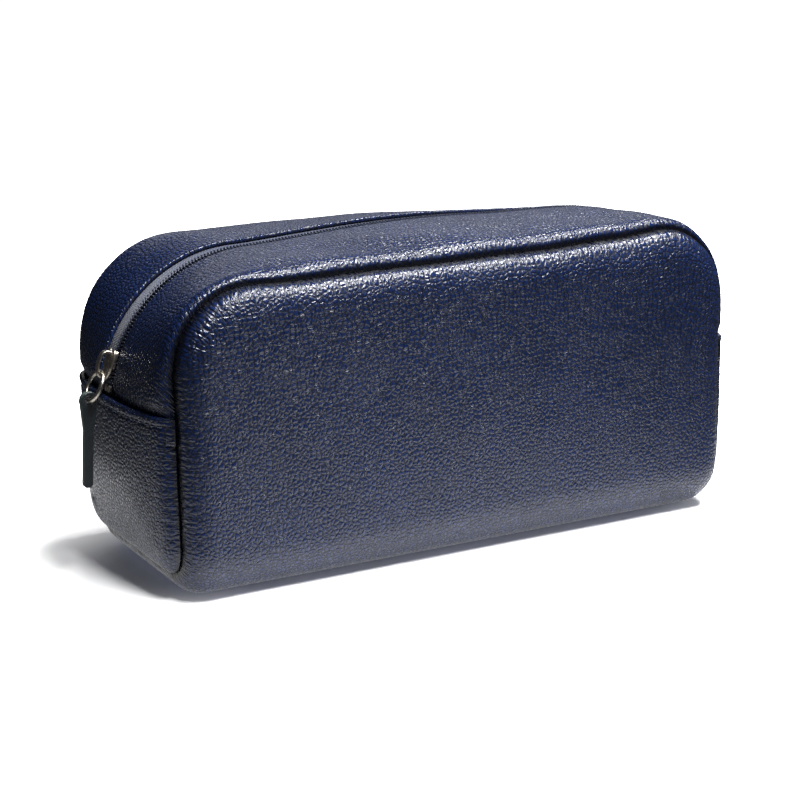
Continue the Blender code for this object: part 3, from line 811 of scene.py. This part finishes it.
def leather_paint():
    """Pebbled navy leather: domed cells with painted shade in the creases, finer cells between, gathers at
    the seams and painted shade along the seams.
    """
    paint = Paint("pebbled_leather", IOR=1.5)
    flat = paint.millimetres()
    wander = paint.noise(flat, 0.30, 2.0, output="Color")
    shift = paint.vector("MULTIPLY", paint.vector("SUBTRACT", wander, (0.5, 0.5, 0.5)), (1.9, 1.9, 0.0))
    place = paint.vector("ADD", flat, shift)
    cells = {"Vector": place, "Scale": 0.55, "Randomness": 0.95}
    edge = paint.voronoi(cells, "DISTANCE_TO_EDGE")
    middle = paint.voronoi(cells, "F1")
    own = paint.node("SeparateColor", (paint.voronoi(cells, "F1", "Color"),))
    small = paint.voronoi({"Vector": place, "Scale": 1.35, "Randomness": 1.0}, "DISTANCE_TO_EDGE")
    patch = paint.ramp(paint.noise(flat, 0.05, 2.0), 0.35, 0.65)
    dome = paint.ramp(middle, 0.0, 0.75, 1.0, 0.0)
    pebble = paint.ramp(edge, 0.0, 0.34)
    sub = paint.ramp(small, 0.0, 0.15)
    grain = paint.noise(flat, 3.0, 3.0)
    height = paint.math("MULTIPLY", paint.math("ADD", paint.math("MULTIPLY", dome, 0.5), pebble),
                        paint.ramp(own, 0, 1, 0.50, 0.85))
    height = paint.math("ADD", height, paint.math("MULTIPLY", sub, paint.ramp(patch, 0, 1, 0.02, 0.14)))
    height = paint.math("ADD", height, paint.math("MULTIPLY", grain, 0.05))
    along = paint.math("DIVIDE", paint.attribute("along"), MM)
    seam = paint.math("DIVIDE", paint.attribute("seam"), MM)
    gather_place = paint.node("CombineXYZ", (along, paint.math("MULTIPLY", seam, 0.16), 0.0))
    gather = paint.noise(gather_place, 0.55, 2.0)
    near = paint.math("MULTIPLY", paint.ramp(seam, 0.0, 1.0), paint.ramp(seam, 2.0, 9.0, 1.0, 0.0))
    gather = paint.math("MULTIPLY", paint.ramp(gather, 0.32, 0.60), near)
    calm = paint.ramp(seam, 1.0, 12.0, 0.55, 1.0)
    bump = paint.bump(paint.math("MULTIPLY", height, calm), 0.00027, 1.0)
    bump = paint.bump(gather, 0.00020, 1.0, bump)
    # Painted shade: the creases between pebbles take a near-black navy that stands in for their shadow; the
    # same mask makes the pebble tops glossier.
    crease_shade_mask = paint.math("MULTIPLY", pebble, paint.ramp(sub, 0, 1, 0.72, 1.0))
    tone = paint.blend(paint.ramp(paint.noise(flat, 0.03, 3.0), 0.3, 0.7),
                       (0.0060, 0.0160, 0.0660, 1), (0.0090, 0.0220, 0.0880, 1))
    colour = paint.blend(crease_shade_mask, (0.0014, 0.0034, 0.0140, 1), tone)
    # Painted shade: the leather turns near black within 1.4 mm of a seam, standing in for the shadow in the
    # seam's groove.
    depth = paint.ramp(seam, 0.0, 1.4)
    colour = paint.blend(depth, (0.0010, 0.0014, 0.0040, 1), colour)
    rough = paint.math("ADD", paint.ramp(crease_shade_mask, 0, 1, 0.42, 0.17),
                       paint.ramp(paint.noise(flat, 0.35, 3.0), 0.25, 0.75, -0.05, 0.07))
    return paint.finish(Base_Color=colour, Roughness=rough, Normal=bump)


def tape_paint():
    """Herringbone-woven polyester tape."""
    paint = Paint("woven_tape", Sheen_Weight=0.25, Sheen_Roughness=0.5, Specular_IOR_Level=0.25)
    place = paint.millimetres()
    along, across = paint.axes(place)[:2]
    column = paint.math("PINGPONG", across, 1.1)
    twill = paint.math("SINE", paint.math("MULTIPLY", paint.math("ADD", along, column), 2 * pi / 1.3))
    warp = paint.math("SINE", paint.math("MULTIPLY", across, 2 * pi / 0.34))
    height = paint.math("ADD", paint.math("MULTIPLY", twill, 0.75), paint.math("MULTIPLY", warp, 0.25))
    fuzz = paint.noise(place, 4.0, 3.0)
    share = paint.math("ADD", paint.ramp(height, -0.8, 0.8, 0.0, 0.8), paint.ramp(fuzz, 0.3, 0.7, 0.0, 0.2))
    colour = paint.blend(share, (0.009, 0.013, 0.030, 1), (0.078, 0.095, 0.160, 1))
    return paint.finish(Base_Color=colour, Roughness=0.78, Normal=paint.bump(height, 0.00010, 0.9))


def lining_paint():
    """Plain dark lining cloth with a fine weave."""
    paint = Paint("lining_cloth", Sheen_Weight=0.15, Specular_IOR_Level=0.3)
    place = paint.millimetres()
    axes = paint.axes(place)[:2]
    rows = [paint.math("SINE", paint.math("MULTIPLY", axis, 2 * pi / 0.45)) for axis in axes]
    height = paint.math("MULTIPLY", rows[0], rows[1])
    slub = paint.noise(place, 0.25, 3.0)
    share = paint.math("ADD", paint.ramp(height, -0.8, 0.8, 0.0, 0.6), paint.ramp(slub, 0.3, 0.7, 0.0, 0.4))
    colour = paint.blend(share, (0.014, 0.014, 0.018, 1), (0.040, 0.041, 0.050, 1))
    return paint.finish(Base_Color=colour, Roughness=0.82, Normal=paint.bump(height, 0.00008, 0.7))


def coil_paint():
    """Dark glossy nylon with slight cloudiness."""
    paint = Paint("nylon_coil", Specular_IOR_Level=0.6)
    place = paint.millimetres()
    colour = paint.blend(paint.noise(place, 0.6, 2.0), (0.012, 0.016, 0.034, 1), (0.026, 0.033, 0.064, 1))
    rough = paint.ramp(paint.noise(place, 1.5, 2.0), 0.3, 0.7, 0.22, 0.38)
    return paint.finish(Base_Color=colour, Roughness=rough)


def metal_paint(name, colour, worn, rough_low, rough_high):
    """Plated metal with fine brushing and cloudy gloss."""
    paint = Paint(name, Metallic=1.0)
    place = paint.object_millimetres()
    cloud = paint.noise(place, 0.5, 3.0)
    brush = paint.noise(place, 2.2, 3.0)
    tint = paint.blend(paint.ramp(cloud, 0.35, 0.7), colour, worn)
    rough = paint.ramp(cloud, 0.3, 0.7, rough_low, rough_high)
    return paint.finish(Base_Color=tint, Roughness=rough, Normal=paint.bump(brush, 0.00001, 0.2))


def tab_paint():
    """Dark dyed leather strip with lighter painted edges."""
    paint = Paint("tab_leather", IOR=1.5)
    place = paint.object_millimetres()
    sideways = paint.axes(paint.node("TexCoord", output="Normal"))[1]
    rim = paint.ramp(paint.math("ABSOLUTE", sideways), 0.25, 0.92, 1.0, 0.0)
    grain = paint.node("TexVoronoi", {"Vector": place, "Scale": 1.5}, feature="DISTANCE_TO_EDGE")
    grain = paint.ramp(grain, 0.0, 0.2)
    face = paint.blend(grain, (0.004, 0.006, 0.008, 1), (0.010, 0.015, 0.020, 1))
    paint_edge = paint.blend(paint.noise(place, 0.8, 2.0), (0.040, 0.062, 0.058, 1), (0.075, 0.105, 0.098, 1))
    colour = paint.blend(rim, face, paint_edge)
    return paint.finish(Base_Color=colour, Roughness=paint.ramp(rim, 0, 1, 0.42, 0.55),
                        Normal=paint.bump(grain, 0.00008, 0.5))


def board_paint():
    """Brown fibre board."""
    paint = Paint("board_fibre")
    place = paint.object_millimetres()
    fibres = paint.noise(paint.vector("MULTIPLY", place, (0.3, 1.6, 1.0)), 1.0, 4.0)
    colour = paint.blend(fibres, (0.07, 0.05, 0.03, 1), (0.20, 0.15, 0.09, 1))
    return paint.finish(Base_Color=colour, Roughness=0.9, Normal=paint.bump(fibres, 0.00015, 0.6))


def thread_paint():
    """Twisted blue sewing thread."""
    paint = Paint("stitch_thread", Sheen_Weight=0.3)
    place = paint.object_millimetres()
    twist = paint.math("SINE", paint.math("MULTIPLY", paint.noise(place, 2.5, 1.0), 18.0))
    colour = paint.blend(paint.ramp(twist, -1, 1), (0.030, 0.042, 0.100, 1), (0.090, 0.115, 0.230, 1))
    return paint.finish(Base_Color=colour, Roughness=0.55, Normal=paint.bump(twist, 0.00004, 0.6))


def repaint(node, paint, *modifiers):
    """Give a CAD node a better material and finer edges."""
    item = frame["nodes"][node]
    for index in range(len(item.material_slots)):
        item.material_slots[index].material = paint
    for kind, settings in modifiers:
        change = item.modifiers.new(kind.lower(), kind)
        for word, value in settings.items():
            setattr(change, word, value)
    item.data.shade_smooth()


# ---------------------------------------------------------------- studio

def floor_and_world():
    """A floor and world that look white to the camera but give the bag a separate, weaker bounce. The floor's
    bounce is painted light: it glows beside the bag, and what the bag sees of it is painted darker farther
    away.
    """
    size = 6.0
    mesh = bpy.data.meshes.new("floor")
    corners = [(-size, -size, 0), (size, -size, 0), (size, size, 0), (-size, size, 0)]
    mesh.from_pydata(corners, [], [(0, 1, 2, 3)])
    floor = bpy.data.objects.new("floor", mesh)
    floor.location.z = -0.0002
    bpy.context.scene.collection.objects.link(floor)
    paint = Paint("studio_floor")
    seen = paint.node("LightPath")
    away = paint.vector("LENGTH", paint.node("TexCoord", output="Object"))
    # Painted shade: the floor as the bag sees it fades from pale grey to near black between 0.10 and 0.24 m
    # from the middle.
    reflected_falloff = paint.blend(paint.ramp(away, 0.10, 0.24), (0.75, 0.75, 0.76, 1), (0.04, 0.04, 0.04, 1))
    colour = paint.blend(seen, reflected_falloff, (1.7, 1.7, 1.7, 1))
    place = paint.vector("MULTIPLY", paint.node("TexCoord", output="Object"), (0.45, 1.0, 1.0))
    beside = paint.vector("LENGTH", paint.vector("SUBTRACT", place, (-0.02, 0.02, 0.0)))
    # Painted light: for all but camera rays the floor glows beside the bag, strongest within about 0.085 m,
    # lighting the bag like a lamp.
    bounce = paint.math("MULTIPLY", paint.math("SUBTRACT", 1.0, seen),
                        paint.ramp(beside, 0.085, 0.16, 0.60, 0.0))
    # For camera rays the floor glows too, enough to look white, fading to almost nothing close to the bag so
    # the shadow from the lamps shows there.
    white = paint.ramp(paint.vector("LENGTH", place), 0.055, 0.110, 0.03, 1.0)
    glow = paint.math("ADD", paint.math("MULTIPLY", seen, white), bounce)
    matt = paint.node("BsdfDiffuse", {"Color": colour})
    lit = paint.node("Emission", {"Strength": glow})
    shown = paint.node("AddShader", (matt, lit))
    surface = paint.tree.nodes["Material Output"].inputs["Surface"]
    paint.tree.links.new(shown, surface)
    paint.tree.nodes.remove(paint.shader)
    mesh.materials.append(paint.material)
    world = bpy.data.worlds.new("studio")
    bpy.context.scene.world = world
    world.use_nodes = True
    tree = world.node_tree
    back = tree.nodes["Background"]
    path = tree.nodes.new("ShaderNodeLightPath")
    mix = tree.nodes.new("ShaderNodeMix")
    mix.data_type = "RGBA"
    tree.links.new(path.outputs["Is Camera Ray"], mix.inputs[0])
    mix.inputs[6].default_value = (0.02, 0.021, 0.024, 1)
    mix.inputs[7].default_value = (1.0, 1.0, 1.0, 1)
    tree.links.new(mix.outputs[2], back.inputs["Color"])


def softbox(name, location, target, size, power):
    """A rectangular light of this size and power, turned to the target."""
    data = bpy.data.lights.new(name, "AREA")
    data.shape = "RECTANGLE"
    data.size, data.size_y = size
    data.energy = power
    made = bpy.data.objects.new(name, data)
    made.location = location
    made.rotation_euler = (Vector(target) - Vector(location)).to_track_quat("-Z", "Y").to_euler()
    bpy.context.scene.collection.objects.link(made)


def camera():
    """The view of the bag, from the front left and a little above."""
    yaw, pitch, turn = radians(27.8), radians(14.74), radians(-1.12)
    distance = 0.856
    target = Vector((-0.0045, 0, 0.0532))
    data = bpy.data.cameras.new("camera")
    data.lens, data.sensor_width = 92.9, 36.0
    made = bpy.data.objects.new("camera", data)
    back = Vector((-sin(yaw) * cos(pitch), -cos(yaw) * cos(pitch), sin(pitch)))
    made.location = target + back * distance
    look = (-back).to_track_quat("-Z", "Y").to_matrix().to_4x4()
    made.rotation_euler = (look @ Matrix.Rotation(turn, 4, "Z")).to_euler()
    bpy.context.scene.collection.objects.link(made)
    bpy.context.scene.camera = made


EDGE = {"width": 0.00022, "segments": 3, "limit_method": "ANGLE", "angle_limit": radians(30)}
LIGHT_TARGET = (0, 0, 0.06)

leather = leather_paint()
woven = tape_paint()
cloth = lining_paint()
nylon = coil_paint()
sewing = thread_paint()
nickel = metal_paint("brushed_nickel", (0.66, 0.61, 0.54, 1), (0.50, 0.46, 0.41, 1), 0.26, 0.38)
for side in (FRONT, REAR):
    wrap_half(side, leather)
    band(side, leather)
    tape(side, woven)
    coil(side, nylon)
    lining(side, cloth)
for end in (LEFT, RIGHT):
    end_panel(end, leather)
    hem_stitches(end, sewing)
    end_lining(end, cloth)
slider(nickel)
ring(nickel)
repaint("pull_tab", tab_paint(), ("BEVEL", EDGE))
for stop in ("top_stop_front", "top_stop_rear", "bottom_stop"):
    repaint(stop, nickel)
repaint("base_board", board_paint())

floor_and_world()
softbox("overhead", (0.26, -0.27, 1.00), LIGHT_TARGET, (1.05, 0.15), 34)
softbox("rear_panel", (0.55, 1.20, 0.50), LIGHT_TARGET, (1.1, 0.5), 1.6)
softbox("front_strip", (0.75, -1.15, 0.75), LIGHT_TARGET, (0.5, 0.16), 0.8)
bpy.context.scene.view_settings.view_transform = "Standard"
camera()
